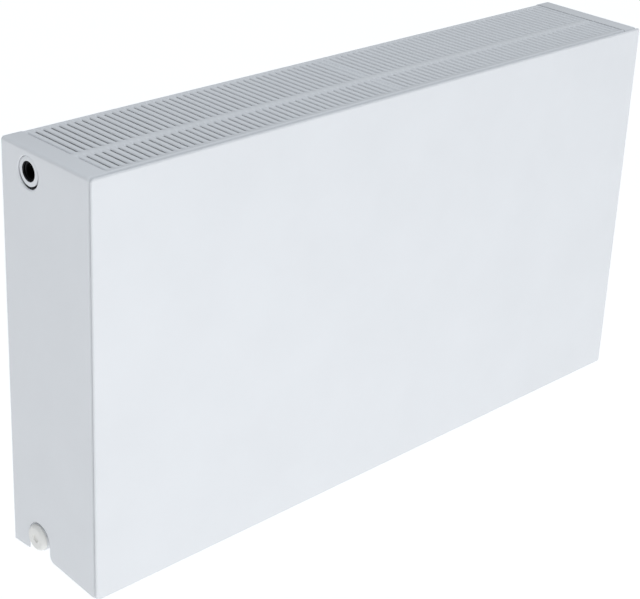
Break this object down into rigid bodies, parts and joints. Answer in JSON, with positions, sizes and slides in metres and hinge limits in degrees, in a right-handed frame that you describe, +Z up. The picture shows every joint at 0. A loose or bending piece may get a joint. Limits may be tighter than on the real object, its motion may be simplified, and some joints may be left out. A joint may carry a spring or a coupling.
{
  "type": "radiator with valve",
  "caption": "Flat-fronted steel panel radiator with slotted top grille, side covers, convectors and a built-in thermostatic valve insert with a hand cap.",
  "frame": {"origin": "midway between the two upper hanging lugs, at their mid-height, on the plane of the lugs' outer faces that meets the wall brackets", "axes": "+X to the right along the radiator as seen from the room, +Y back to the wall, +Z up"},
  "size_m": [0.9228, 0.168, 0.5],
  "materials": {
    "white_enamel": "smooth white stoved enamel on steel sheet, semi-gloss",
    "white_plastic": "white moulded plastic, satin",
    "grey_plastic": "grey moulded plastic, satin",
    "zinc_steel": "zinc-plated turned steel",
    "brass": "machined brass",
    "rubber": "black EPDM rubber",
    "adhesive": "cured grey elastic adhesive"
  },
  "bodies": {
    "radiator": {"bonding_strip_1": "adhesive", "bonding_strip_2": "adhesive", "bonding_strip_3": "adhesive", "bonding_strip_4": "adhesive", "front_convector_left": "white_enamel", "front_convector_right": "white_enamel", "front_panel_back_shell": "white_enamel", "front_panel_front_shell": "white_enamel", "front_plate": "white_enamel", "gland_nut": "brass", "gland_o_ring": "rubber", "grille_clip_1": "white_plastic", "grille_clip_2": "white_plastic", "grille_clip_3": "white_plastic", "grille_clip_4": "white_plastic", "grille_support": "white_enamel", "hub_bottom_left": "white_enamel", "hub_bottom_right": "white_enamel", "hub_top_left": "white_enamel", "lug_bottom_left": "white_enamel", "lug_bottom_right": "white_enamel", "lug_top_left": "white_enamel", "lug_top_right": "white_enamel", "middle_convector_left": "white_enamel", "middle_convector_right": "white_enamel", "middle_panel_back_shell": "white_enamel", "middle_panel_front_shell": "white_enamel", "nipple_bridge": "zinc_steel", "plug_bottom_left": "white_plastic", "plug_bottom_right": "white_plastic", "rear_convector_left": "white_enamel", "rear_convector_right": "white_enamel", "rear_panel_back_shell": "white_enamel", "rear_panel_front_shell": "white_enamel", "return_nipple": "zinc_steel", "return_spring": "zinc_steel", "riser_pipe": "white_enamel", "side_cover_left": "white_enamel", "side_cover_right": "white_enamel", "spacer_bottom_left": "white_enamel", "spacer_bottom_right": "white_enamel", "spacer_top_left": "white_enamel", "spacer_top_right": "white_enamel", "supply_nipple": "zinc_steel", "top_grille": "white_enamel", "valve_body": "brass", "valve_hub": "white_enamel"},
    "stem": {"valve_stem": "zinc_steel", "valve_disc": "rubber"},
    "cap": {"hand_cap": "white_plastic"},
    "preset_dial": {"preset_ring": "grey_plastic"}
  },
  "joints": [
    {"name": "stem_slide", "type": "slide", "parent": "radiator", "child": "stem", "axis": [-1, 0, 0], "range_m": [0, 0.003], "deforming": ["return_spring"]},
    {"name": "cap_turn", "type": "hinge", "parent": "stem", "child": "cap", "pos_m": [0.4605, -0.0585, 0.0645], "axis": [-1, 0, 0], "range_deg": [0, 719]},
    {"name": "preset_turn", "type": "hinge", "parent": "radiator", "child": "preset_dial", "pos_m": [0.4605, -0.0585, 0.0645], "axis": [1, 0, 0], "range_deg": [-315, 0]}
  ],
  "couplings": [
    {"joint": "stem_slide", "follows": "cap_turn", "m_per_rad": 0.00023873}
  ]
}
